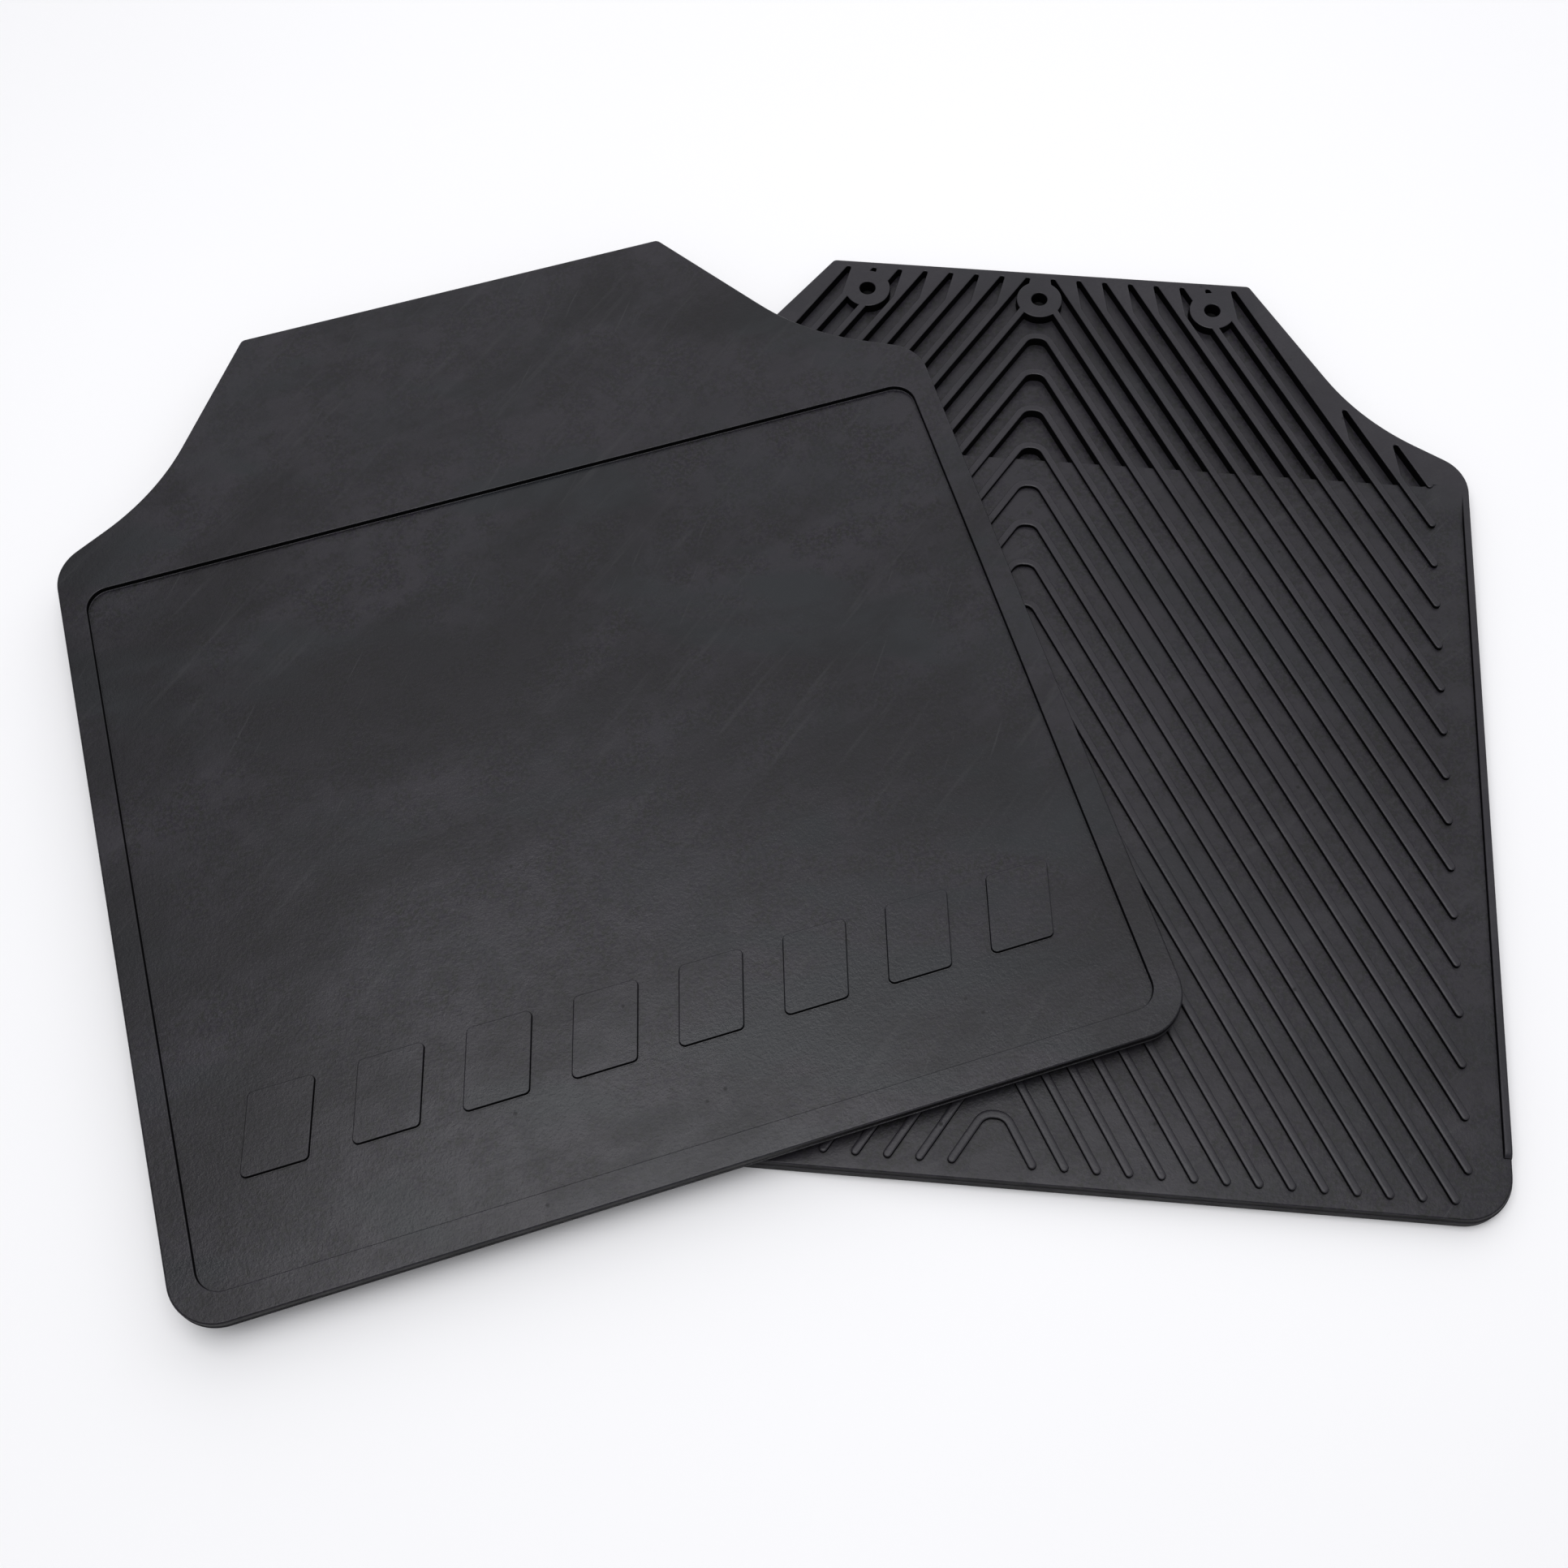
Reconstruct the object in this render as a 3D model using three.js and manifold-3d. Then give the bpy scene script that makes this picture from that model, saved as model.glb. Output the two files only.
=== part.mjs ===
// A pair of moulded rubber mud flaps, one lying face up on top of the other, which lies back up.
// Both are the same moulding. Millimetres, +Z up.
import * as THREE from 'three';
import { mergeVertices } from 'three/addons/utils/BufferGeometryUtils.js';
import Module from 'manifold-3d';

const wasm = await Module();
wasm.setup();

// ---- Driving dimensions ---------------------------------------------------------------------
// One flap lies in its own frame: x across, y up the flap with 0 at the top edge, and z through
// the rubber, with 0 on the front face. A "drop" is a distance down from the top edge.

const THICKNESS = 9.5;
const HALF_WIDTH = 184;
const HEIGHT = 411;
const TOP_HALF_WIDTH = 92.5;
const ELBOW = { x: 139.8, drop: 68.9, radius: 100 };
const SHOULDER = { drop: 91.9, radius: 18 };
const TOP_CORNER_RADIUS = 3;
const BOTTOM_CORNER_RADIUS = 18;

// Front face: one shallow panel, with a row of plain slanted marks standing in it.
const PANEL = { halfWidth: 174, top: 108, bottom: 400, radius: 9, depth: 2.2 };
const MARK = { count: 8, pitch: 39.5, width: 24, top: 333.5, bottom: 363.5, slant: 8, height: 1.6 };
const MARK_RADIUS = 2;

// Back face: deep pockets between the ribs above the step, low ribs on a raised floor below it.
const STEP = 100.9;
const POCKET_DEPTH = 4.4;
const RIB_HEIGHT = 1.8;
const RIB_HALF_WIDTH = 1.5;
const RIB_PITCH = 19.49;
const RIB_SLOPE = Math.tan(THREE.MathUtils.degToRad(59.64));
const FIRST_RIB_DROP = 9.4;
const APEX_TRIM = 6.9;
const APEX_RADIUS = 6;
const FIRST_RIB = -10;
const LAST_RIB = 19;
const RIB_TIP_X = 168.4;
const RIB_TIP_DROP = 405.4;
const RIB_TIP_RADIUS = 1.48;
const TOP_BORDER = 3.7;
const POCKET_HEAD = 2.4;
const POCKET_RADIUS = 1;
const SHOULDER_POCKET_DROPS = { [-9]: 64.9, [-10]: 81.4 };

const BEAD = { inner: 180.6, outer: 183.6, top: 96, bottom: 387.4, radius: 1.2 };
const RAMP = { inner: 168.6, top: 95, crest: 101.4, foot: 118.4 };

const BOSS = { pitch: 76.2, drop: 15.4, radius: 10, holeRadius: 3.5, holeDepth: 7 };

// The pair: how each flap is turned, and where the upper one lies on the lower one.
const LOWER_TURN = THREE.MathUtils.degToRad(-4.8);
const UPPER_TURN = THREE.MathUtils.degToRad(17.6);
const UPPER_OFFSET = { x: -258.0, y: -18.1 };
const REST_GAP = 0.3;

// How far a straight step of an arc may stand off the true curve, how far one solid runs into
// another that it is joined to, and how far a cutter stands clear of what it cuts.
const CHORD_ERROR = 0.2;
const OVERLAP = 1;
const CLEAR = 5;
const DISC_SIDES = 24;
const FLOOR = THICKNESS - RIB_HEIGHT;
const POCKET_FLOOR = THICKNESS - POCKET_DEPTH;
const RIB_RISE = RIB_HALF_WIDTH * Math.hypot(1, RIB_SLOPE);

// ---- Outlines and solids --------------------------------------------------------------------

// A closed outline from corners { x, drop, radius }, each corner rounded by an arc.
function outline(corners) {
  const points = [];
  corners.forEach((corner, index) => {
    const before = corners[(index + corners.length - 1) % corners.length];
    const after = corners[(index + 1) % corners.length];
    const here = new THREE.Vector2(corner.x, -corner.drop);
    if (!corner.radius) {
      points.push(here);
      return;
    }
    const toBefore = new THREE.Vector2(before.x, -before.drop).sub(here).normalize();
    const toAfter = new THREE.Vector2(after.x, -after.drop).sub(here).normalize();
    const turn = Math.PI - Math.acos(THREE.MathUtils.clamp(toBefore.dot(toAfter), -1, 1));
    const reach = corner.radius * Math.tan(turn / 2);
    const start = here.clone().addScaledVector(toBefore, reach);
    const end = here.clone().addScaledVector(toAfter, reach);
    const toCentre = toBefore.clone().add(toAfter).normalize();
    const centre = here.clone().addScaledVector(toCentre, corner.radius / Math.cos(turn / 2));
    const step = 2 * Math.acos(1 - CHORD_ERROR / corner.radius);
    const steps = Math.max(1, Math.ceil(turn / step));
    const startAngle = start.clone().sub(centre).angle();
    let sweep = end.clone().sub(centre).angle() - startAngle;
    if (sweep > Math.PI) sweep -= 2 * Math.PI;
    if (sweep < -Math.PI) sweep += 2 * Math.PI;
    for (let count = 0; count <= steps; count += 1) {
      const angle = startAngle + (sweep * count) / steps;
      const arm = new THREE.Vector2(Math.cos(angle), Math.sin(angle));
      points.push(centre.clone().addScaledVector(arm, corner.radius));
    }
  });
  return points;
}

function mirrored(corners) {
  return corners.map((corner) => ({ ...corner, x: -corner.x })).reverse();
}

function solid(geometry) {
  const bare = geometry.clone();
  bare.deleteAttribute('normal');
  bare.deleteAttribute('uv');
  const merged = mergeVertices(bare, 1e-4);
  return new wasm.Manifold(new wasm.Mesh({
    numProp: 3,
    vertProperties: new Float32Array(merged.attributes.position.array),
    triVerts: new Uint32Array(merged.index.array),
  }));
}

function prism(points, low, high) {
  const geometry = new THREE.ExtrudeGeometry(new THREE.Shape(points), {
    depth: high - low,
    bevelEnabled: false,
  });
  geometry.translate(0, 0, low);
  return solid(geometry);
}

function disc(x, drop, radius, low, high) {
  const geometry = new THREE.CylinderGeometry(radius, radius, high - low, DISC_SIDES);
  geometry.rotateX(Math.PI / 2);
  geometry.translate(x, -drop, (low + high) / 2);
  return solid(geometry);
}

function slab(x0, x1, dropTop, dropBottom, low, high) {
  const geometry = new THREE.BoxGeometry(x1 - x0, dropBottom - dropTop, high - low);
  geometry.translate((x0 + x1) / 2, -(dropTop + dropBottom) / 2, (low + high) / 2);
  return solid(geometry);
}

function union(solids) {
  return solids.reduce((sum, next) => sum.add(next));
}

// ---- The flap's outer shape -----------------------------------------------------------------

function flapOutline() {
  const right = [
    { x: TOP_HALF_WIDTH, drop: 0, radius: TOP_CORNER_RADIUS },
    { x: ELBOW.x, drop: ELBOW.drop, radius: ELBOW.radius },
    { x: HALF_WIDTH, drop: SHOULDER.drop, radius: SHOULDER.radius },
    { x: HALF_WIDTH, drop: HEIGHT, radius: BOTTOM_CORNER_RADIUS },
  ];
  return outline([...right, ...mirrored(right)]);
}

function panelSolid() {
  const right = [
    { x: PANEL.halfWidth, drop: PANEL.top, radius: PANEL.radius },
    { x: PANEL.halfWidth, drop: PANEL.bottom, radius: PANEL.radius },
  ];
  return prism(outline([...right, ...mirrored(right)]), -CLEAR, PANEL.depth);
}

function markSolid(index) {
  const middle = (index - (MARK.count - 1) / 2) * MARK.pitch;
  const half = MARK.width / 2;
  const lean = MARK.slant / 2;
  const corners = [
    { x: middle - half - lean, drop: MARK.top, radius: MARK_RADIUS },
    { x: middle + half - lean, drop: MARK.top, radius: MARK_RADIUS },
    { x: middle + half + lean, drop: MARK.bottom, radius: MARK_RADIUS },
    { x: middle - half + lean, drop: MARK.bottom, radius: MARK_RADIUS },
  ];
  return prism(outline(corners), PANEL.depth - MARK.height, PANEL.depth + OVERLAP);
}

// ---- Ribs and pockets on the back -----------------------------------------------------------

// Where a rib's centre line would cross the middle of the flap if its legs ran on to a point.
function ribVertex(rib) {
  return FIRST_RIB_DROP + rib * RIB_PITCH;
}

// x on one of a rib's edges at a given drop. side is +1 for the lower edge, -1 for the upper one.
function edgeX(rib, side, drop) {
  return (drop - ribVertex(rib) - side * RIB_RISE) / RIB_SLOPE;
}

function edgeDrop(rib, side, x) {
  return ribVertex(rib) + side * RIB_RISE + RIB_SLOPE * x;
}

// The flat, rounded apex of one of a chevron's two edges, from left to right.
function apexCorners(rib, side) {
  const drop = ribVertex(rib) + APEX_TRIM + side * RIB_HALF_WIDTH;
  const radius = APEX_RADIUS - side * RIB_HALF_WIDTH;
  const right = { x: edgeX(rib, side, drop), drop, radius };
  return [{ ...right, x: -right.x }, right];
}

// How far down a rib's legs go: to the tip line at the side or to the one along the bottom.
function tipCentre(rib) {
  const sideDrop = ribVertex(rib) + RIB_SLOPE * RIB_TIP_X;
  const drop = Math.min(sideDrop, RIB_TIP_DROP) - RIB_HALF_WIDTH;
  return { x: (drop - ribVertex(rib)) / RIB_SLOPE, drop };
}

// The two rounded corners at the end of a right-hand leg, upper edge first.
function tipCorners(rib) {
  const tip = tipCentre(rib);
  const along = new THREE.Vector2(1, RIB_SLOPE).normalize();
  return [1, -1].map((side) => ({
    x: tip.x + RIB_HALF_WIDTH * (along.x + side * along.y),
    drop: tip.drop + RIB_HALF_WIDTH * (along.y - side * along.x),
    radius: RIB_TIP_RADIUS,
  }));
}

// A whole chevron below the step.
function chevronSolid(rib) {
  const [upperTip, lowerTip] = tipCorners(rib);
  const corners = [
    ...mirrored([upperTip, lowerTip]),
    ...apexCorners(rib, -1),
    upperTip,
    lowerTip,
    ...apexCorners(rib, 1).reverse(),
  ];
  return prism(outline(corners), FLOOR - OVERLAP, THICKNESS);
}

// One leg of a rib that comes out of the head of the flap.
function legSolid(rib, hand) {
  const start = STEP - 2 * OVERLAP;
  const [upperTip, lowerTip] = tipCorners(rib);
  const corners = [
    { x: edgeX(rib, 1, start), drop: start },
    { x: edgeX(rib, -1, start), drop: start },
    upperTip,
    lowerTip,
  ];
  return prism(outline(hand > 0 ? corners : mirrored(corners)), FLOOR - OVERLAP, THICKNESS);
}

function ribSolids() {
  const solids = [];
  for (let rib = FIRST_RIB; rib <= LAST_RIB; rib += 1) {
    if (ribVertex(rib) + APEX_TRIM > STEP) {
      solids.push(chevronSolid(rib));
    } else {
      solids.push(legSolid(rib, 1), legSolid(rib, -1));
    }
  }
  return solids;
}

// A pocket that starts at the border, between the lower edge of one rib and the next rib inwards.
function sidePocket(rib, hand) {
  const top = SHOULDER_POCKET_DROPS[rib] ?? TOP_BORDER;
  const outer = edgeX(rib, 1, top);
  const inner = outer - POCKET_HEAD;
  const corners = [
    { x: inner, drop: top, radius: POCKET_RADIUS },
    { x: outer, drop: top, radius: POCKET_RADIUS },
    { x: edgeX(rib, 1, STEP), drop: STEP },
    { x: edgeX(rib + 1, -1, STEP), drop: STEP },
    { x: inner, drop: edgeDrop(rib + 1, -1, inner) },
  ];
  return prism(outline(hand > 0 ? corners : mirrored(corners)), POCKET_FLOOR, THICKNESS + CLEAR);
}

// A pocket that goes over the middle, from one side of the flap to the other.
function middlePocket(rib) {
  const right = [{ x: edgeX(rib, 1, STEP), drop: STEP }];
  const hasRibBelow = ribVertex(rib + 1) + APEX_TRIM < STEP;
  const inner = hasRibBelow ? apexCorners(rib + 1, -1).reverse() : [];
  if (hasRibBelow) right.push({ x: edgeX(rib + 1, -1, STEP), drop: STEP });
  const corners = [...apexCorners(rib, 1), ...right, ...inner, ...mirrored(right)];
  return prism(outline(corners), POCKET_FLOOR, THICKNESS + CLEAR);
}

function pocketSolids() {
  const solids = [];
  for (let rib = FIRST_RIB; rib < 0; rib += 1) {
    solids.push(sidePocket(rib, 1), sidePocket(rib, -1));
  }
  for (let rib = 0; ribVertex(rib) + APEX_TRIM + RIB_HALF_WIDTH < STEP; rib += 1) {
    solids.push(middlePocket(rib));
  }
  return solids;
}

function beadSolid(hand) {
  const right = [
    { x: BEAD.inner, drop: BEAD.top },
    { x: BEAD.outer, drop: BEAD.top },
    { x: BEAD.outer, drop: BEAD.bottom, radius: BEAD.radius },
    { x: BEAD.inner, drop: BEAD.bottom, radius: BEAD.radius },
  ];
  return prism(outline(hand > 0 ? right : mirrored(right)), FLOOR - OVERLAP, THICKNESS);
}

// The soft run-down from the head of the flap to the lower floor, outside the ribs.
function rampSolid(hand) {
  const width = BEAD.inner + OVERLAP - RAMP.inner;
  const shape = new THREE.Shape([
    new THREE.Vector2(-RAMP.foot, FLOOR - OVERLAP),
    new THREE.Vector2(-RAMP.top, FLOOR - OVERLAP),
    new THREE.Vector2(-RAMP.top, THICKNESS),
    new THREE.Vector2(-RAMP.crest, THICKNESS),
    new THREE.Vector2(-RAMP.foot, FLOOR),
  ]);
  const geometry = new THREE.ExtrudeGeometry(shape, { depth: width, bevelEnabled: false });
  geometry.applyMatrix4(new THREE.Matrix4().set(0, 0, 1, 0, 1, 0, 0, 0, 0, 1, 0, 0, 0, 0, 0, 1));
  geometry.translate(hand > 0 ? RAMP.inner : -RAMP.inner - width, 0, 0);
  return solid(geometry);
}

// ---- One flap -------------------------------------------------------------------------------

function flapGeometry() {
  const shape = flapOutline();
  const plate = prism(shape, 0, FLOOR);
  const headCut = slab(-HALF_WIDTH - CLEAR, HALF_WIDTH + CLEAR, -CLEAR, STEP, -CLEAR, 2 * THICKNESS);
  let body = plate.add(prism(shape, 0, THICKNESS).intersect(headCut));
  body = body.add(union([rampSolid(1), rampSolid(-1), beadSolid(1), beadSolid(-1)]));
  body = body.subtract(union(pocketSolids()));
  body = body.add(union(ribSolids()));
  for (const column of [-1, 0, 1]) {
    const x = column * BOSS.pitch;
    const bottom = THICKNESS - BOSS.holeDepth;
    body = body.add(disc(x, BOSS.drop, BOSS.radius, POCKET_FLOOR - OVERLAP, THICKNESS));
    body = body.subtract(disc(x, BOSS.drop, BOSS.holeRadius, bottom, THICKNESS + CLEAR));
  }
  body = body.subtract(panelSolid());
  for (let index = 0; index < MARK.count; index += 1) {
    body = body.add(markSolid(index));
  }
  const mesh = body.getMesh();
  const geometry = new THREE.BufferGeometry();
  geometry.setAttribute('position', new THREE.BufferAttribute(mesh.vertProperties, 3));
  geometry.setIndex(new THREE.BufferAttribute(mesh.triVerts, 1));
  return geometry;
}

const rubber = new THREE.MeshStandardMaterial({ color: 0x3a3b3f, roughness: 0.62, metalness: 0 });

// ---- The pair -------------------------------------------------------------------------------

const geometry = flapGeometry();

const lower = new THREE.Mesh(geometry, rubber.clone());
lower.name = 'lower_flap';
lower.rotation.z = LOWER_TURN;

const upper = new THREE.Mesh(geometry, rubber.clone());
upper.name = 'upper_flap';
upper.rotation.set(0, Math.PI, UPPER_TURN, 'ZYX');
upper.position.set(UPPER_OFFSET.x, UPPER_OFFSET.y, 2 * THICKNESS + REST_GAP);

const pair = new THREE.Group();
pair.add(lower, upper);

// The pair stands on z = 0, with the origin under the middle of its box.
pair.updateMatrixWorld(true);
const middle = new THREE.Box3().setFromObject(pair, true).getCenter(new THREE.Vector3());
pair.position.set(-middle.x, -middle.y, 0);

export default pair;
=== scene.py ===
"""A pair of moulded rubber mud flaps, one lying face up on another that lies back up.

Each flap is modelled in its own frame in millimetres: x across, y up the flap with 0 at the top
edge, and z through the rubber with 0 on the front face. A "drop" is a distance down from the top
edge. The finished mesh is in metres and takes the place of the flap's CAD node.
"""
import math

import bpy
from mathutils import Matrix, Vector
from mathutils.bvhtree import BVHTree


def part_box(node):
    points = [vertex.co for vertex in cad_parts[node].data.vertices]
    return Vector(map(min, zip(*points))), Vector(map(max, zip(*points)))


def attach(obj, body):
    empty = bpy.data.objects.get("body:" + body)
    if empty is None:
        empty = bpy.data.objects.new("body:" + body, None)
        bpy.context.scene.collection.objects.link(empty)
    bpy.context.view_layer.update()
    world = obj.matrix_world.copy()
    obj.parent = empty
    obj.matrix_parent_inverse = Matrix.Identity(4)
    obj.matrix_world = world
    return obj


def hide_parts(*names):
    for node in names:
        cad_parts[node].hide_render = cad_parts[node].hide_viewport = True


# ---- Driving dimensions, in millimetres ------------------------------------------------------

MM = 0.001
THICKNESS = 9.5
HALF_WIDTH = 184.0
HEIGHT = 411.0
TOP_HALF_WIDTH = 92.5
ELBOW = (139.8, 68.9, 100.0)
SHOULDER_DROP = 91.9
CORNER_RADIUS = 18.0
TOP_CORNER_RADIUS = 3.0

# The moulded outer edge: its rounding, its draft and the thin ridge where the mould halves meet.
EDGE_RADIUS = 0.8
DRAFT = 0.05
RIDGE_PROUD = 0.35
RIDGE_BAND = (4.3, 5.2)
RIDGE_FLANK = 0.15

# The back: pockets above the step, low ribs on a raised floor below it.
# The head is cut off a shave above the step, so that no thin fin of it is left below the pockets.
STEP = 100.9
STEP_SHAVE = 0.3
POCKET_DEPTH = 4.4
RIB_HEIGHT = 1.8
RIB_HALF_WIDTH = 1.5
RIB_PITCH = 19.49
RIB_SLOPE = math.tan(math.radians(59.64))
FIRST_RIB_DROP = 9.4
APEX_TRIM = 6.9
APEX_RADIUS = 6.0
FIRST_RIB = -10
LAST_RIB = 19
RIB_TIP_X = 168.4
RIB_TIP_DROP = 405.4
RIB_DRAFT = 0.1
POCKET_DRAFT = -0.25
TOP_BORDER = 3.7

# The head of a side pocket is a narrow rounded slot, and its inner wall leans over to the next rib.
# The pockets by the shoulder start lower down than the others.
POCKET_HEAD = {"width": 1.9, "radius": 0.85, "lean": 3.0}
SHOULDER_POCKET_DROPS = {-9: 64.9, -10: 81.4}

# The raised bead down both sides, and the drops between which it rounds off at the bottom.
BEAD_WIDTH = 3.4
BEAD_INNER_RADIUS = 0.5
BEAD_END = (384.0, 387.4)

# The run-down from the head to the lower floor: the patch it covers, and where it falls.
MARGIN_X = (160.0, 181.0)
MARGIN_DROP = (98.0, 121.0)
MARGIN_RAMP_X = (163.0, 171.0)
MARGIN_RAMP_DROP = (101.4, 119.4)

# Rounded edges (height, width): a rib's crown, and the mouth of a pocket or rim of a boss.
CROWN = (0.4, 1.1)
MOUTH = (0.4, 0.8)

BOSS_PITCH = 76.2
BOSS_DROP = 15.4
BOSS_RADIUS = 10.0
BOSS_DRAFT = 0.2
HOLE_RADIUS = 3.5
HOLE_DEPTH = 7.0
HOLE_TIP_RADIUS = 0.3
HOLE_DRAFT = -0.15
HOLE_MOUTH = (0.5, 0.5)

# The front: one shallow panel with a row of plain slanted marks standing in it.
PANEL = {"half_width": 174.0, "top": 108.0, "bottom": 400.0, "radius": 9.0, "depth": 2.2}
MARK = {"count": 8, "pitch": 39.5, "width": 24.0, "top": 333.5, "bottom": 363.5, "slant": 8.0}
PANEL_LIP = (0.35, 0.35)
PANEL_FILLET = 0.3
PANEL_DRAFT = -0.1
MARK_HEIGHT = 1.6
MARK_RADIUS = 2.0
MARK_CROWN = (0.25, 0.35)
MARK_DRAFT = 0.15
MARK_FOOT = 0.4

LOWER_TURN = math.radians(-4.8)
UPPER_TURN = math.radians(17.6)

FLOOR = THICKNESS - RIB_HEIGHT
POCKET_FLOOR = THICKNESS - POCKET_DEPTH
RIB_RISE = RIB_HALF_WIDTH * math.hypot(1, RIB_SLOPE)

# How far a chord may stray from its arc, the smallest radius an offset may leave, and the share
# of a full radius that keeps two arcs which would just meet from doubling a point.
CHORD_ERROR = 0.02
LEAST_RADIUS = 0.02
NEARLY = 0.999

# How far a joining or cutting solid reaches past the surface it meets.
CLEAR = 1.0
TUCK = 0.1
FLARE_RUN_OUT = 0.05


# ---- Outlines --------------------------------------------------------------------------------

def mirrored(corners):
    """The same corners on the other side of the flap, still in clockwise order."""
    return [(-x, drop, radius) for x, drop, radius in reversed(corners)]


def both_sides(right):
    return right + mirrored(right)


def on_side(corners, hand):
    return corners if hand > 0 else mirrored(corners)


def outline(corners, offset=0.0):
    """Points (x, y) round clockwise corners (x, drop, radius), grown outwards by offset."""
    points = []
    count = len(corners)
    for index, (x, drop, radius) in enumerate(corners):
        here = Vector((x, -drop))
        before = Vector((corners[index - 1][0], -corners[index - 1][1]))
        after = Vector((corners[(index + 1) % count][0], -corners[(index + 1) % count][1]))
        run_in = (here - before).normalized()
        run_out = (after - here).normalized()
        out_in = Vector((-run_in.y, run_in.x))
        out_out = Vector((-run_out.y, run_out.x))
        turn = run_in.angle_signed(run_out)
        bisector = (out_in + out_out).normalized()
        corner = here + bisector * (offset / bisector.dot(out_in))
        if not radius:
            points.append(corner)
            continue
        bend = 1 if turn > 0 else -1
        grown = max(radius + bend * offset, LEAST_RADIUS)
        centre = corner - bisector * (bend * grown / bisector.dot(out_in))
        steps = max(2, math.ceil(abs(turn) / (2 * math.acos(1 - CHORD_ERROR / radius))))
        start = math.atan2(bend * out_in.y, bend * out_in.x)
        for step in range(steps + 1):
            angle = start - turn * step / steps
            points.append(centre + Vector((math.cos(angle), math.sin(angle))) * grown)
    return points


# ---- Solids: lists of corners and faces ------------------------------------------------------

def ring_solid(rings):
    """A closed solid through rings of points, each clockwise from above, lowest ring first."""
    count = len(rings[0])
    points = [point for ring in rings for point in ring]
    faces = [list(range(count))]
    for level in range(len(rings) - 1):
        base = level * count
        for index in range(count):
            after = (index + 1) % count
            faces.append([base + index, base + count + index, base + count + after, base + after])
    faces.append(list(reversed(range(len(points) - count, len(points)))))
    return points, faces


def loft(corners, levels):
    """A solid with the same outline at every level (z, offset)."""
    return ring_solid([[(p.x, p.y, z) for p in outline(corners, offset)] for z, offset in levels])


def gather(solids):
    """Several solids that don't touch, as one."""
    points, faces = [], []
    for more_points, more_faces in solids:
        start = len(points)
        points += more_points
        faces += [[start + index for index in face] for face in more_faces]
    return points, faces


def circle(x, drop, radius):
    """A circle as four rounded corners."""
    corner = radius * NEARLY
    right = [(x + radius, drop - radius, corner), (x + radius, drop + radius, corner)]
    left = [(x - radius, drop + radius, corner), (x - radius, drop - radius, corner)]
    return right + left


def box(x0, x1, drop0, drop1, z0, z1):
    corners = [(x1, drop0, 0), (x1, drop1, 0), (x0, drop1, 0), (x0, drop0, 0)]
    return loft(corners, [(z0, 0), (z1, 0)])


def quarter(steps=4):
    """Angles of a quarter turn, both ends included."""
    return [math.pi / 2 * step / steps for step in range(steps + 1)]


def crown(top, height, width, reach=0.0):
    """Levels of a rounded upper edge that ends level at the top."""
    return [
        (top - height + height * math.sin(angle), reach - width + width * math.cos(angle))
        for angle in quarter()
    ]


def foot(bottom, radius, reach=0.0):
    """Levels of a rounded lower edge that starts level at the bottom."""
    return [
        (bottom + radius - radius * math.cos(angle), reach - radius + radius * math.sin(angle))
        for angle in quarter()
    ]


def flare(top, height, width):
    """Levels of a cutter that opens out at the top, so that it leaves a rounded edge."""
    levels = [
        (top - height + height * math.sin(angle), width - width * math.cos(angle))
        for angle in quarter()
    ]
    return levels + [(top + CLEAR, width + FLARE_RUN_OUT)]


# ---- The flap's outer body -------------------------------------------------------------------

def flap_corners(bottom=HEIGHT, bottom_radius=CORNER_RADIUS):
    right = [
        (TOP_HALF_WIDTH, 0, TOP_CORNER_RADIUS),
        ELBOW,
        (HALF_WIDTH, SHOULDER_DROP, CORNER_RADIUS),
    ]
    start, end = BEAD_END
    if bottom > end:
        right += [(HALF_WIDTH, start + (end - start) * math.sin(angle), 0) for angle in quarter(5)]
    right.append((HALF_WIDTH, bottom, bottom_radius))
    return both_sides(right)


def edge_height(drop):
    """The height of the outer edge: full round the head and down the sides, low along the bottom."""
    start, end = BEAD_END
    along = min(max((drop - start) / (end - start), 0), 1)
    return FLOOR + RIB_HEIGHT * math.sqrt(1 - along * along)


def edge_offset(z):
    return -DRAFT * max(z - EDGE_RADIUS, 0)


def body_solid():
    """The plate with its moulded edge, and the raised bead inside it down both sides."""
    corners = flap_corners()
    low, high = RIDGE_BAND
    fixed = foot(0, EDGE_RADIUS)
    fixed += [(low, edge_offset(low)), (low + RIDGE_FLANK, edge_offset(low) + RIDGE_PROUD)]
    fixed += [(high - RIDGE_FLANK, edge_offset(high) + RIDGE_PROUD), (high, edge_offset(high))]
    rings = [[(p.x, p.y, z) for p in outline(corners, offset)] for z, offset in fixed]
    top = crown(0, EDGE_RADIUS, EDGE_RADIUS, edge_offset(THICKNESS))
    outer_levels = len(top)
    radius = BEAD_INNER_RADIUS
    top += [
        (-radius * (1 - math.cos(angle)), -BEAD_WIDTH + radius * (1 - math.sin(angle)))
        for angle in quarter(3)
    ]
    top.append((-THICKNESS, -BEAD_WIDTH - TUCK))
    for index, (fall, offset) in enumerate(top):
        outside = index < outer_levels
        ring = []
        for p in outline(corners, offset):
            height = edge_height(-p.y)
            z = height + fall if outside else max(height + fall, FLOOR)
            ring.append((p.x, p.y, z))
        rings.append(ring)
    return ring_solid(rings)


def head_solid():
    """The solid head inside the moulded edge. It runs on past the step, where it is cut off."""
    run_on = 8
    inset = -2
    return loft(flap_corners(STEP + run_on, 0), [(POCKET_FLOOR, inset), (THICKNESS, inset)])


def ease(value, start, end):
    """1 at start, easing to 0 at end."""
    t = min(max((value - start) / (end - start), 0), 1)
    return 1 - t * t * (3 - 2 * t)


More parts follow.
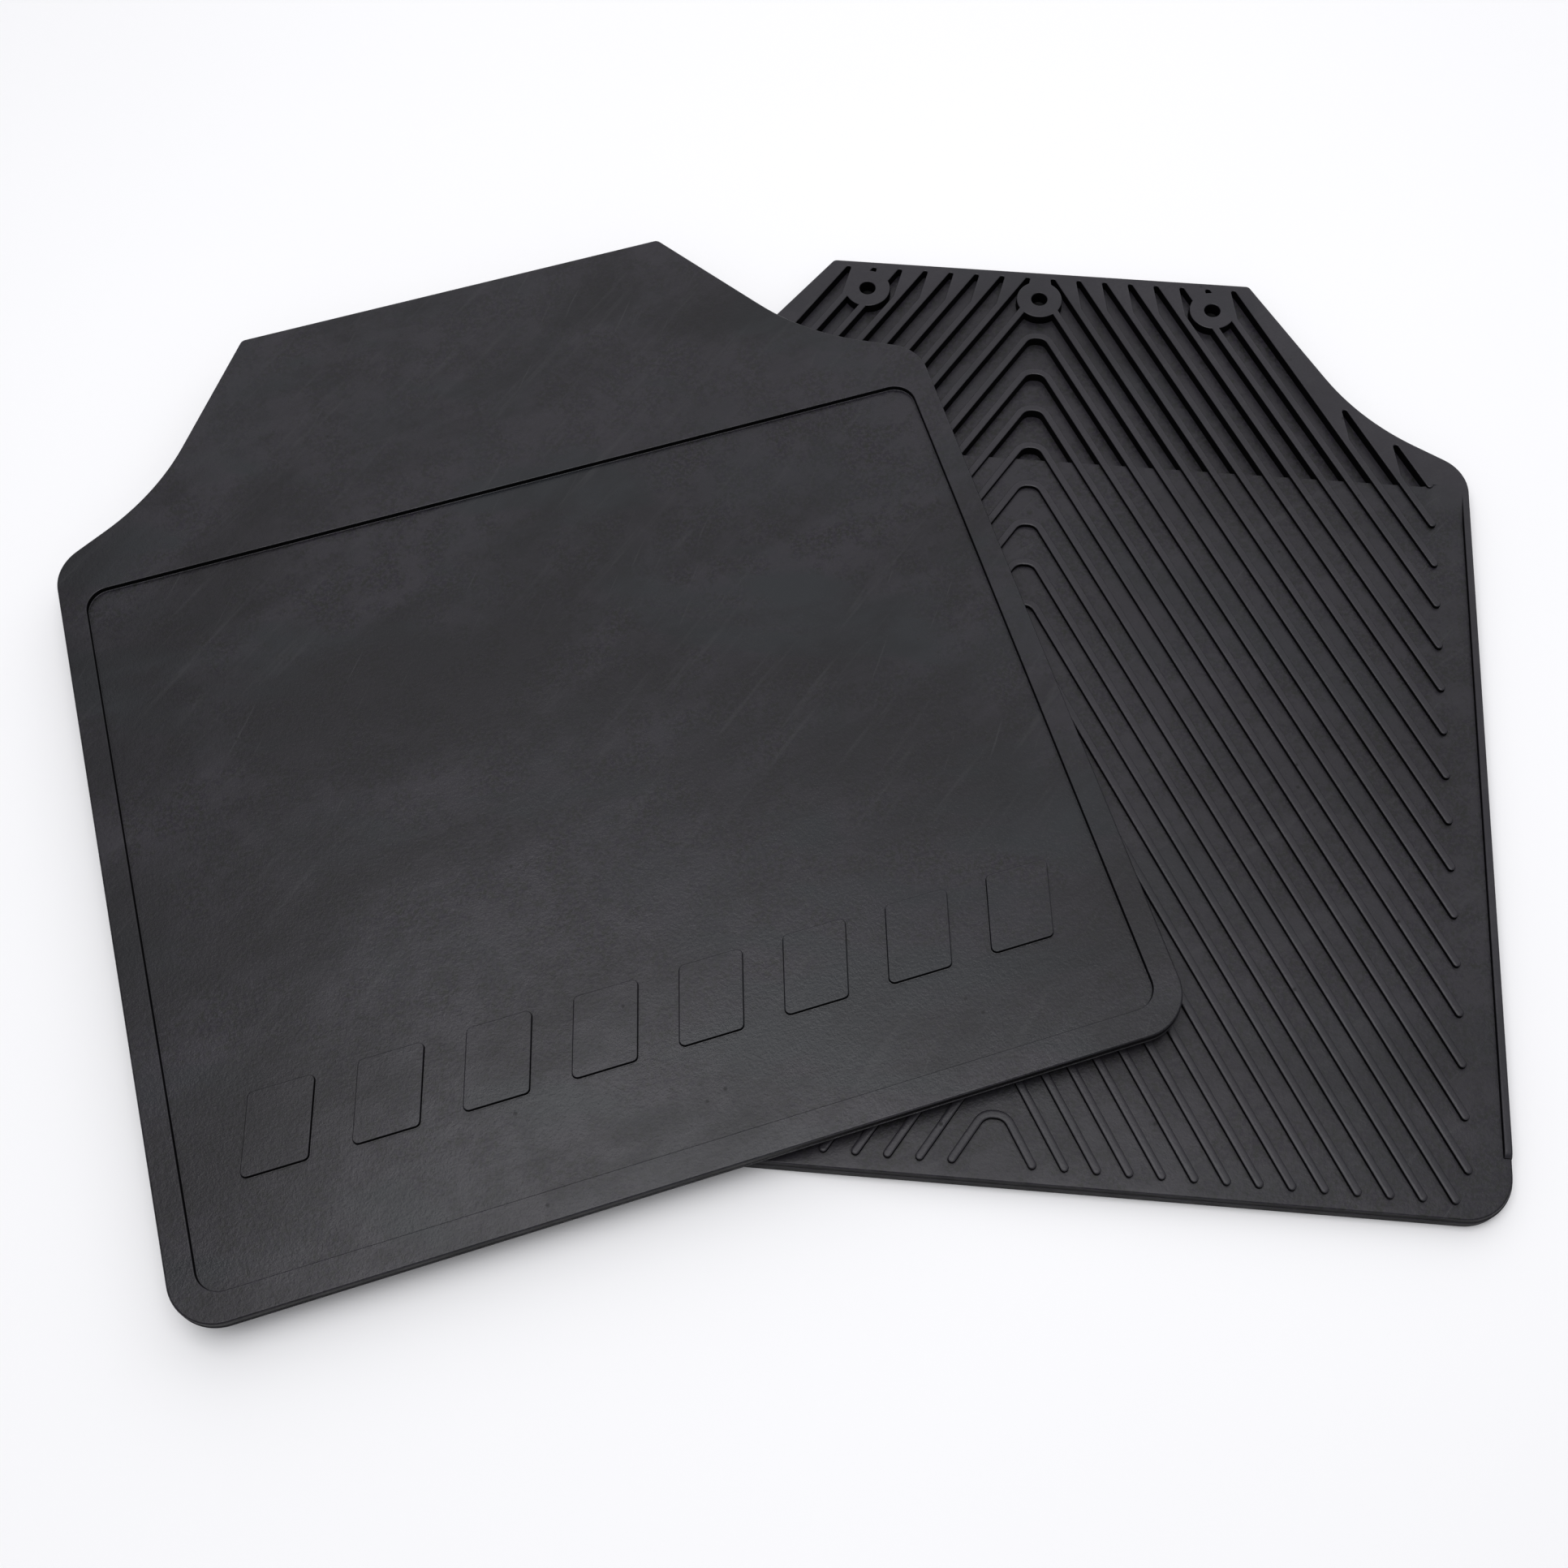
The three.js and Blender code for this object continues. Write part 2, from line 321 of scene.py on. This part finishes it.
def margin_solid(hand):
    """The soft run-down from the head to the lower floor, between the rib ends and the bead."""
    columns, rows = 14, 18
    x_start, x_end = MARGIN_X
    drop_start, drop_end = MARGIN_DROP
    points = []
    for row in range(rows + 1):
        drop = drop_start + (drop_end - drop_start) * row / rows
        for column in range(columns + 1):
            x = x_start + (x_end - x_start) * column / columns
            rise = ease(drop, *MARGIN_RAMP_DROP) * (1 - ease(x, *MARGIN_RAMP_X))
            points.append((hand * x, -drop, FLOOR - TUCK + (RIB_HEIGHT + TUCK) * rise))
    wide = columns + 1
    faces = []
    for row in range(rows):
        for column in range(columns):
            first = row * wide + column
            faces.append([first, first + wide, first + wide + 1, first + 1])
    rim = list(range(wide))
    rim += [row * wide + columns for row in range(1, rows + 1)]
    rim += [rows * wide + column for column in reversed(range(columns))]
    rim += [row * wide for row in reversed(range(1, rows))]
    base = len(points)
    points += [(points[index][0], points[index][1], POCKET_FLOOR) for index in rim]
    for index in range(len(rim)):
        after = (index + 1) % len(rim)
        faces.append([rim[index], rim[after], base + after, base + index])
    faces.append(list(range(base, len(points))))
    if hand < 0:
        faces = [list(reversed(face)) for face in faces]
    return points, faces


# ---- Ribs and pockets ------------------------------------------------------------------------

def rib_vertex(rib):
    """The drop where a rib's legs would meet if they ran on to a point."""
    return FIRST_RIB_DROP + rib * RIB_PITCH


def edge_x(rib, side, drop):
    """x on a right-hand leg's edge. side is 1 for the lower edge and -1 for the upper one."""
    return (drop - rib_vertex(rib) - side * RIB_RISE) / RIB_SLOPE


def edge_drop(rib, side, x):
    return rib_vertex(rib) + side * RIB_RISE + RIB_SLOPE * x


def apex_corners(rib, side):
    """The flat, rounded apex of one edge of a chevron, from left to right."""
    drop = rib_vertex(rib) + APEX_TRIM + side * RIB_HALF_WIDTH
    radius = APEX_RADIUS - side * RIB_HALF_WIDTH
    x = edge_x(rib, side, drop)
    return [(-x, drop, radius), (x, drop, radius)]


def tip_corners(rib):
    """The rounded end of a right-hand leg, upper edge first."""
    side_drop = rib_vertex(rib) + RIB_SLOPE * RIB_TIP_X
    drop = min(side_drop, RIB_TIP_DROP) - RIB_HALF_WIDTH
    x = (drop - rib_vertex(rib)) / RIB_SLOPE
    along = Vector((1, RIB_SLOPE)).normalized() * RIB_HALF_WIDTH
    # A shade under the half width, because two full arcs would meet in a doubled point.
    radius = RIB_HALF_WIDTH * 0.99
    return [
        (x + along.x + side * along.y, drop + along.y - side * along.x, radius)
        for side in (1, -1)
    ]


def rib_levels():
    """A low rib: a little draft and a crowned top."""
    return [(FLOOR - CLEAR, RIB_DRAFT)] + crown(THICKNESS, *CROWN)


def rib_solids():
    """Whole chevrons below the step, and only the legs of those that start above it."""
    solids = []
    start = STEP - 2 * CLEAR
    for rib in range(FIRST_RIB, LAST_RIB + 1):
        upper_tip, lower_tip = tip_corners(rib)
        if rib_vertex(rib) + APEX_TRIM > STEP:
            corners = mirrored([upper_tip, lower_tip])
            corners += apex_corners(rib, -1) + [upper_tip, lower_tip]
            corners += reversed(apex_corners(rib, 1))
            solids.append(loft(corners, rib_levels()))
            continue
        leg = [(edge_x(rib, 1, start), start, 0), (edge_x(rib, -1, start), start, 0)]
        leg += [upper_tip, lower_tip]
        solids += [loft(on_side(leg, hand), rib_levels()) for hand in (1, -1)]
    return solids


def pocket_levels():
    """A pocket: a little draft and a rounded mouth."""
    return [(POCKET_FLOOR, POCKET_DRAFT)] + flare(THICKNESS, *MOUTH)


def side_pocket(rib):
    """A right-hand pocket from the border down to the step, below one rib and above the next."""
    top = SHOULDER_POCKET_DROPS.get(rib, TOP_BORDER)
    outer = edge_x(rib, 1, top)
    inner = outer - POCKET_HEAD["width"]
    leaned = inner + POCKET_HEAD["lean"]
    return [
        (inner, top, POCKET_HEAD["radius"]),
        (outer, top, POCKET_HEAD["radius"]),
        (edge_x(rib, 1, STEP), STEP, 0),
        (edge_x(rib + 1, -1, STEP), STEP, 0),
        (leaned, edge_drop(rib + 1, -1, leaned), 0),
    ]


def middle_pocket(rib):
    """A pocket that goes over the middle of the flap."""
    right = [(edge_x(rib, 1, STEP), STEP, 0)]
    inner = []
    if rib_vertex(rib + 1) + APEX_TRIM < STEP:
        right.append((edge_x(rib + 1, -1, STEP), STEP, 0))
        inner = list(reversed(apex_corners(rib + 1, -1)))
    return apex_corners(rib, 1) + right + inner + mirrored(right)


def pocket_solids():
    shapes = [on_side(side_pocket(rib), hand) for rib in range(FIRST_RIB, 0) for hand in (1, -1)]
    rib = 0
    while rib_vertex(rib) + APEX_TRIM + RIB_HALF_WIDTH < STEP:
        shapes.append(middle_pocket(rib))
        rib += 1
    return [loft(shape, pocket_levels()) for shape in shapes]


def at_bosses(radius, levels):
    """The same round solid at each of the three bosses."""
    return [loft(circle(side * BOSS_PITCH, BOSS_DROP, radius), levels) for side in (-1, 0, 1)]


def boss_solids():
    levels = [(POCKET_FLOOR - CLEAR, BOSS_DRAFT), (POCKET_FLOOR, BOSS_DRAFT)]
    return at_bosses(BOSS_RADIUS, levels + crown(THICKNESS, *MOUTH))


def hole_solids():
    """Blind holes with a cone at the bottom, as the pin that moulds them has."""
    bottom = THICKNESS - HOLE_DEPTH
    cone_height = 1
    levels = [(bottom, HOLE_TIP_RADIUS - HOLE_RADIUS), (bottom + cone_height, HOLE_DRAFT)]
    return at_bosses(HOLE_RADIUS, levels + flare(THICKNESS, *HOLE_MOUTH))


# ---- Front panel and marks -------------------------------------------------------------------

def panel_solid():
    """The recess in the front face, with a rounded lip and a fillet round its floor."""
    right = [
        (PANEL["half_width"], PANEL["top"], PANEL["radius"]),
        (PANEL["half_width"], PANEL["bottom"], PANEL["radius"]),
    ]
    opened = [(-z, offset) for z, offset in flare(0, *PANEL_LIP)]
    fillet = foot(0, PANEL_FILLET, PANEL_DRAFT)
    floor = [(PANEL["depth"] - z, offset) for z, offset in fillet]
    return loft(both_sides(right), list(reversed(opened)) + list(reversed(floor)))


def mark_solids():
    """Plain raised bars, evenly spaced, in place of any lettering."""
    half = MARK["width"] / 2
    lean = MARK["slant"] / 2
    top = PANEL["depth"] - MARK_HEIGHT
    levels = [(2 * top - z, offset) for z, offset in reversed(crown(top, *MARK_CROWN))]
    levels.append((PANEL["depth"] - TUCK, MARK_DRAFT))
    levels += [(PANEL["depth"], MARK_FOOT), (PANEL["depth"] + CLEAR, MARK_FOOT)]
    solids = []
    for index in range(MARK["count"]):
        middle = (index - (MARK["count"] - 1) / 2) * MARK["pitch"]
        corners = [
            (middle + half - lean, MARK["top"], MARK_RADIUS),
            (middle + half + lean, MARK["bottom"], MARK_RADIUS),
            (middle - half + lean, MARK["bottom"], MARK_RADIUS),
            (middle - half - lean, MARK["top"], MARK_RADIUS),
        ]
        solids.append(loft(corners, levels))
    return solids


# ---- Building one flap -----------------------------------------------------------------------

def mesh_object(name, solid):
    points, faces = solid
    mesh = bpy.data.meshes.new(name)
    mesh.from_pydata([(x * MM, y * MM, z * MM) for x, y, z in points], [], faces)
    mesh.validate()
    piece = bpy.data.objects.new(name, mesh)
    bpy.context.scene.collection.objects.link(piece)
    return piece


def carve(piece, operation, solid):
    """Joins a solid to the piece (UNION) or takes it away (DIFFERENCE)."""
    tool = mesh_object("tool", solid)
    modifier = piece.modifiers.new("carve", "BOOLEAN")
    modifier.solver = "MANIFOLD"
    modifier.operation = operation
    modifier.object = tool
    graph = bpy.context.evaluated_depsgraph_get()
    result = bpy.data.meshes.new_from_object(piece.evaluated_get(graph))
    piece.modifiers.clear()
    piece.data = result
    bpy.data.objects.remove(tool)


def below_step():
    """A box over all that the head runs on past the step."""
    reach = HALF_WIDTH + 16
    end = STEP + 20
    return box(-reach, reach, STEP - STEP_SHAVE, end, POCKET_FLOOR - CLEAR, THICKNESS + CLEAR)


def flap(name):
    """One whole flap, back up, carved and joined from its solids."""
    piece = mesh_object(name, head_solid())
    carve(piece, "DIFFERENCE", below_step())
    carve(piece, "UNION", body_solid())
    carve(piece, "UNION", gather([margin_solid(1), margin_solid(-1)]))
    carve(piece, "DIFFERENCE", gather(pocket_solids()))
    carve(piece, "UNION", gather(rib_solids()))
    carve(piece, "UNION", gather(boss_solids()))
    carve(piece, "DIFFERENCE", gather(hole_solids()))
    carve(piece, "DIFFERENCE", panel_solid())
    carve(piece, "UNION", gather(mark_solids()))
    return piece


def finish_surface(piece):
    """Smooth shading with crisp creases, weighted so that broad faces stay flat."""
    crease = math.radians(38)
    mesh = piece.data
    mesh.shade_smooth()
    mesh.set_sharp_from_angle(angle=crease)
    modifier = piece.modifiers.new("weighted", "WEIGHTED_NORMAL")
    modifier.keep_sharp = True
    modifier.weight = 100


def paint_wall_shade(piece):
    """Gives the second material, near black as painted shade, to steep walls that look at another
    wall, and to the hole bottoms.

    The third material, dark as painted shade, goes to the other steep walls, which are the flap's
    outer edge.
    """
    steep = 0.5
    step_off = 0.1 * MM
    deep = (POCKET_FLOOR - 0.5) * MM
    mesh = piece.data
    tree = BVHTree.FromPolygons([v.co for v in mesh.vertices], [f.vertices for f in mesh.polygons])
    for face in mesh.polygons:
        hole_bottom = face.normal.z > steep and face.center.z < deep
        level = Vector((face.normal.x, face.normal.y, 0))
        wall = abs(face.normal.z) < steep
        faces_wall = wall and tree.ray_cast(face.center + level * step_off, level)[0]
        if hole_bottom or faces_wall:
            face.material_index = 1
        elif wall:
            face.material_index = 2


def place(piece, node, turn, face_up):
    """Turns the flap, then sets the middle of its box on the middle of its CAD node's box."""
    rotation = Matrix.Rotation(turn, 4, "Z")
    if face_up:
        rotation = rotation @ Matrix.Rotation(math.pi, 4, "Y")
    piece.data.transform(rotation)
    low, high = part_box(node)
    middle = (low + high) / 2
    for axis in range(3):
        values = [vertex.co[axis] for vertex in piece.data.vertices]
        middle[axis] -= (min(values) + max(values)) / 2
    piece.data.transform(Matrix.Translation(middle))


# ---- Materials -------------------------------------------------------------------------------

VIOLET = (0.0088, 0.0066, 0.0124, 1)
OLIVE = (0.0070, 0.0074, 0.0058, 1)
GREY = (0.0210, 0.0190, 0.0240, 1)
# A lighter tone for the raised surfaces: painted shade in the recesses and a painted highlight on the
# tops.
RAISED_LIGHT_TONE = (0.0250, 0.0232, 0.0280, 1)
TEAL = (0.0138, 0.0154, 0.0182, 1)
PALE = (0.0320, 0.0320, 0.0345, 1)
SOOT = (0.0030, 0.0024, 0.0036, 1)
PIT = (0.0050, 0.0048, 0.0052, 1)
# Near black for walls that face other walls and for the hole bottoms: painted shade.
WALL_SHADE_BLACK = (0.0010, 0.0009, 0.0011, 1)
WALL_SHADE_GREY = (0.0020, 0.0019, 0.0022, 1)
# Dark for the flap's outer edge walls: painted shade.
EDGE_SHADE_BLACK = (0.0024, 0.0022, 0.0027, 1)
EDGE_SHADE_GREY = (0.0056, 0.0052, 0.0060, 1)
WALL_SHADE_SHINE = 0.08
EDGE_SHADE_SHINE = 0.13
FACE_SHINE = 0.30
PAPER = (0.94, 0.94, 0.94, 1)
PAPER_LIGHT = (0.97, 0.97, 0.97, 1)


class Nodes:
    """Short calls for building a material's node tree."""

    def __init__(self, name):
        self.material = bpy.data.materials.new(name)
        self.material.use_nodes = True
        self.tree = self.material.node_tree
        self.shader = self.tree.nodes["Principled BSDF"]

    def add(self, kind, inputs=(), **settings):
        node = self.tree.nodes.new(kind)
        for key, value in settings.items():
            setattr(node, key, value)
        for key, value in dict(inputs).items():
            self.feed(node.inputs[key], value)
        return node

    def feed(self, socket, value):
        if isinstance(value, bpy.types.NodeSocket):
            self.tree.links.new(value, socket)
        else:
            socket.default_value = value

    def noise(self, where, scale, detail=4.0, roughness=0.5, distortion=0.0):
        inputs = {"Vector": where, "Scale": scale, "Detail": detail}
        inputs.update({"Roughness": roughness, "Distortion": distortion})
        return self.add("ShaderNodeTexNoise", inputs).outputs["Fac"]

    def band(self, value, low, high, start=0.0, end=1.0):
        """value from low to high, turned smoothly into start to end."""
        inputs = {"Value": value, "From Min": low, "From Max": high, "To Min": start, "To Max": end}
        return self.add("ShaderNodeMapRange", inputs, interpolation_type="SMOOTHSTEP").outputs[0]

    def math(self, operation, first, second):
        return self.add("ShaderNodeMath", {0: first, 1: second}, operation=operation).outputs[0]

    def mix(self, share, first, second):
        """Two colours. A Mix node's colour sockets are its inputs 6 and 7 and its output 2."""
        node = self.add("ShaderNodeMix", data_type="RGBA")
        self.feed(node.inputs[0], share)
        self.feed(node.inputs[6], first)
        self.feed(node.inputs[7], second)
        return node.outputs[2]

    def moved(self, where, shift):
        inputs = {"Vector": where, "Location": (shift, shift, 0)}
        return self.add("ShaderNodeMapping", inputs).outputs[0]

    def stretched(self, where, angle, scale):
        """Coordinates for a pattern drawn out along its own y, which lies at angle to the flap's."""
        turned = self.add("ShaderNodeMapping", {"Vector": where, "Rotation": (0, 0, angle)}).outputs[0]
        return self.add("ShaderNodeMapping", {"Vector": turned, "Scale": scale}).outputs[0]


def rubber(name, turn, levels, raised_light, stained, dull):
    """Moulded black rubber: satin, and painted lighter the higher it stands: painted shade in the
    recesses and a painted highlight on the raised tops.

    levels are the heights in metres of the floors and of the highest surface on the shown side,
    and the fourth argument is how much smoother and lighter the highest one is; the lighter tone is
    painted shade in the recesses and a painted highlight on the raised tops. stained is how strong
    the broad stains are, and dull is added to the roughness.
    """
    n = Nodes(name)
    spot = n.add("ShaderNodeTexCoord").outputs["Object"]
    where = n.add("ShaderNodeMapping", {"Vector": spot, "Rotation": (0, 0, -turn)}).outputs[0]
    height = n.add("ShaderNodeSeparateXYZ", {"Vector": spot}).outputs["Z"]
    # Painted shade and highlight: a share that rises with height, from the floors to the highest
    # surface.
    raised_light_share = n.band(height, levels[0], levels[1], 0, raised_light)

    cloud = n.noise(n.stretched(where, 1.3, (16, 7, 10)), 1, 5, 0.65, 0.4)
    patch = n.noise(n.moved(where, 1.7), 24, 4, 0.6)
    mottle = n.noise(where, 60, 5, 0.7)
    tint = n.noise(n.moved(where, 3.1), 420, 3, 0.6)
    grain = n.noise(where, 640, 3, 0.75)
    smudge = n.noise(n.stretched(where, 0.35, (10, 26, 30)), 1, 5, 0.6, 0.3)
    streak = n.noise(n.stretched(where, 0.9, (240, 14, 30)), 1, 4, 0.6)
    scratch = n.noise(n.stretched(where, 0.62, (640, 22, 40)), 1, 3, 0.55)
    specks = n.add("ShaderNodeTexVoronoi", {"Vector": where, "Scale": 110, "Randomness": 1.0})
    speck = n.band(specks.outputs["Distance"], 0.04, 0.12, 1, 0)
    speck = n.math("MULTIPLY", speck, n.band(n.noise(where, 41, 2), 0.56, 0.62, 0, 0.8))

    base = n.mix(n.band(tint, 0.40, 0.60), VIOLET, OLIVE)
    # The raised surfaces painted lighter, as painted shade in the recesses and a painted highlight on
    # the tops.
    base = n.mix(raised_light_share, base, RAISED_LIGHT_TONE)
    base = n.mix(n.band(grain, 0.44, 0.62, 0, 0.9), base, GREY)
    base = n.mix(n.band(mottle, 0.44, 0.60, 0, 0.8), base, GREY)
    base = n.mix(n.band(patch, 0.46, 0.66, 0, 0.45 * stained), base, TEAL)
    base = n.mix(n.band(smudge, 0.52, 0.66, 0, stained), base, TEAL)
    base = n.mix(n.band(cloud, 0.36, 0.60, 0.7 * stained, 0), base, SOOT)
    base = n.mix(n.band(streak, 0.56, 0.76, 0, 0.35), base, PALE)
    base = n.mix(n.band(scratch, 0.66, 0.80, 0, 0.6), base, PALE)
    base = n.mix(speck, base, PIT)
    n.feed(n.shader.inputs["Base Color"], base)
    n.shader.inputs["Specular IOR Level"].default_value = FACE_SHINE

    rough = n.band(cloud, 0.3, 0.7, 0.33 + dull, 0.26 + dull)
    rough = n.math("ADD", rough, n.band(mottle, 0.3, 0.7, 0.04, -0.03))
    rough = n.math("SUBTRACT", rough, n.band(smudge, 0.5, 0.75, 0.0, 0.04))
    rough = n.math("SUBTRACT", rough, n.math("MULTIPLY", raised_light_share, 0.02))
    rough = n.math("ADD", rough, n.math("MULTIPLY", speck, 0.3))
    n.feed(n.shader.inputs["Roughness"], rough)

    fine = n.add("ShaderNodeBump", {"Height": grain, "Strength": 0.9, "Distance": 0.00012})
    dents = n.add("ShaderNodeBump", {"Height": mottle, "Strength": 0.4, "Distance": 0.00014})
    swell = n.noise(where, 9, 2)
    wave = n.add("ShaderNodeBump", {"Height": swell, "Strength": 0.7, "Distance": 0.0015})
    n.feed(dents.inputs["Normal"], fine.outputs[0])
    n.feed(wave.inputs["Normal"], dents.outputs[0])
    n.feed(n.shader.inputs["Normal"], wave.outputs[0])
    return n.material


def wall_shade_rubber(name, black, grey, shine):
    """The same rubber on steep walls, dull and near black as painted shade.

    black and grey are the two tones of its mottle, and shine is the level of its sheen.
    """
    n = Nodes(name)
    spot = n.add("ShaderNodeTexCoord").outputs["Object"]
    mottle = n.noise(spot, 90, 4, 0.6)
    n.feed(n.shader.inputs["Base Color"], n.mix(n.band(mottle, 0.35, 0.65), black, grey))
    n.feed(n.shader.inputs["Roughness"], n.band(mottle, 0.3, 0.7, 0.62, 0.52))
    n.shader.inputs["Specular IOR Level"].default_value = shine
    grain = n.noise(spot, 640, 3)
    fine = n.add("ShaderNodeBump", {"Height": grain, "Strength": 0.6, "Distance": 0.0001})
    n.feed(n.shader.inputs["Normal"], fine.outputs[0])
    return n.material


# ---- Stage, lights and camera ----------------------------------------------------------------

def stage_floor():
    """White paper a hair below the flaps."""
    mesh = bpy.data.meshes.new("floor")
    half = 6.0
    corners = [(-half, -half, 0), (half, -half, 0), (half, half, 0), (-half, half, 0)]
    mesh.from_pydata(corners, [], [(0, 1, 2, 3)])
    floor = bpy.data.objects.new("floor", mesh)
    floor.location.z = -0.0002
    bpy.context.scene.collection.objects.link(floor)
    n = Nodes("floor_paper")
    where = n.add("ShaderNodeTexCoord").outputs["Object"]
    tone = n.noise(where, 3, 2)
    n.feed(n.shader.inputs["Base Color"], n.mix(tone, PAPER, PAPER_LIGHT))
    n.shader.inputs["Roughness"].default_value = 0.9
    mesh.materials.append(n.material)


def soft_light(name, place_at, aim_at, size, power):
    """A rectangular panel with its size in metres and its power in watts."""
    data = bpy.data.lights.new(name, "AREA")
    data.color = (0.985, 0.98, 1)
    data.shape = "RECTANGLE"
    data.size, data.size_y = size
    data.energy = power
    light = bpy.data.objects.new(name, data)
    light.location = place_at
    aim = Vector(aim_at) - Vector(place_at)
    light.rotation_euler = aim.to_track_quat("-Z", "Y").to_euler()
    bpy.context.scene.collection.objects.link(light)


def lights():
    """A panel overhead and a broad one behind, which the rubber mirrors, and a pale grey room."""
    soft_light("overhead", (-0.06, -0.20, 1.5), aim_at=(0, 0, 0), size=(1.2, 1.1), power=14.5)
    soft_light("far", (0.6, 1.43, 1.03), aim_at=(0.6, 0.966, 0), size=(3.2, 2.57), power=18)
    world = bpy.data.worlds.new("studio")
    world.use_nodes = True
    background = world.node_tree.nodes["Background"]
    background.inputs["Color"].default_value = (0.95, 0.96, 1, 1)
    background.inputs["Strength"].default_value = 0.33
    bpy.context.scene.world = world


def camera():
    """The photograph's view: from in front and well above, a little right of the pair's middle."""
    elevation = math.radians(63.55)
    data = bpy.data.cameras.new("camera")
    data.sensor_width = 36
    data.lens = 44.54
    data.shift_x = -0.0495
    data.shift_y = -0.0057
    data.clip_start = 0.01
    eye = bpy.data.objects.new("camera", data)
    eye.location = (0.0348, -0.3597, 0.6832)
    eye.rotation_euler = (math.pi / 2 - elevation, 0, 0)
    bpy.context.scene.collection.objects.link(eye)
    bpy.context.scene.camera = eye


# ---- The scene -------------------------------------------------------------------------------

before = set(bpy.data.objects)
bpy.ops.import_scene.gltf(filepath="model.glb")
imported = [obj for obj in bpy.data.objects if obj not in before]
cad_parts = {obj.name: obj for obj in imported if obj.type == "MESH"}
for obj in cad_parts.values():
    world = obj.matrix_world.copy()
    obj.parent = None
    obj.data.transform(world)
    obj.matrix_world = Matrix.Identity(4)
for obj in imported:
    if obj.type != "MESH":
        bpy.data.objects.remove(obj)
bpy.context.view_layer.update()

lower = flap("lower_rubber_flap")
finish_surface(lower)
upper = lower.copy()
upper.data = lower.data.copy()
upper.name = "upper_rubber_flap"
bpy.context.scene.collection.objects.link(upper)

top_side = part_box("upper_flap")[1].z
# Heights between which the surfaces are painted lighter: painted shade below, painted highlight above.
lower_levels = (FLOOR * MM, THICKNESS * MM)
upper_levels = (top_side - PANEL["depth"] * MM, top_side)
lower_look = {"levels": lower_levels, "raised_light": 1.0, "stained": 0.4, "dull": 0.08}
upper_look = {"levels": upper_levels, "raised_light": 0.2, "stained": 1.0, "dull": 0.0}
pieces = (
    (lower, "lower_flap", "lower", "lower_rubber", LOWER_TURN, False, lower_look),
    (upper, "upper_flap", "upper", "upper_rubber", UPPER_TURN, True, upper_look),
)
for piece, node, body, slot, turn, face_up, look in pieces:
    piece.data.materials.clear()
    piece.data.materials.append(rubber(slot, turn, **look))
    # Near-black painted shade for walls that face walls and for the hole bottoms.
    painted_wall_shade = wall_shade_rubber(slot + "_wall_shade", WALL_SHADE_BLACK, WALL_SHADE_GREY, WALL_SHADE_SHINE)
    piece.data.materials.append(painted_wall_shade)
    # Dark painted shade for the flap's outer edge walls.
    edge = wall_shade_rubber(slot + "_edge_shade", EDGE_SHADE_BLACK, EDGE_SHADE_GREY, EDGE_SHADE_SHINE)
    piece.data.materials.append(edge)
    # Puts the painted shade on the walls and the hole bottoms.
    paint_wall_shade(piece)
    place(piece, node, turn, face_up)
    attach(piece, body)
    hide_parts(node)

stage_floor()
lights()
camera()
bpy.context.scene.view_settings.view_transform = "Standard"
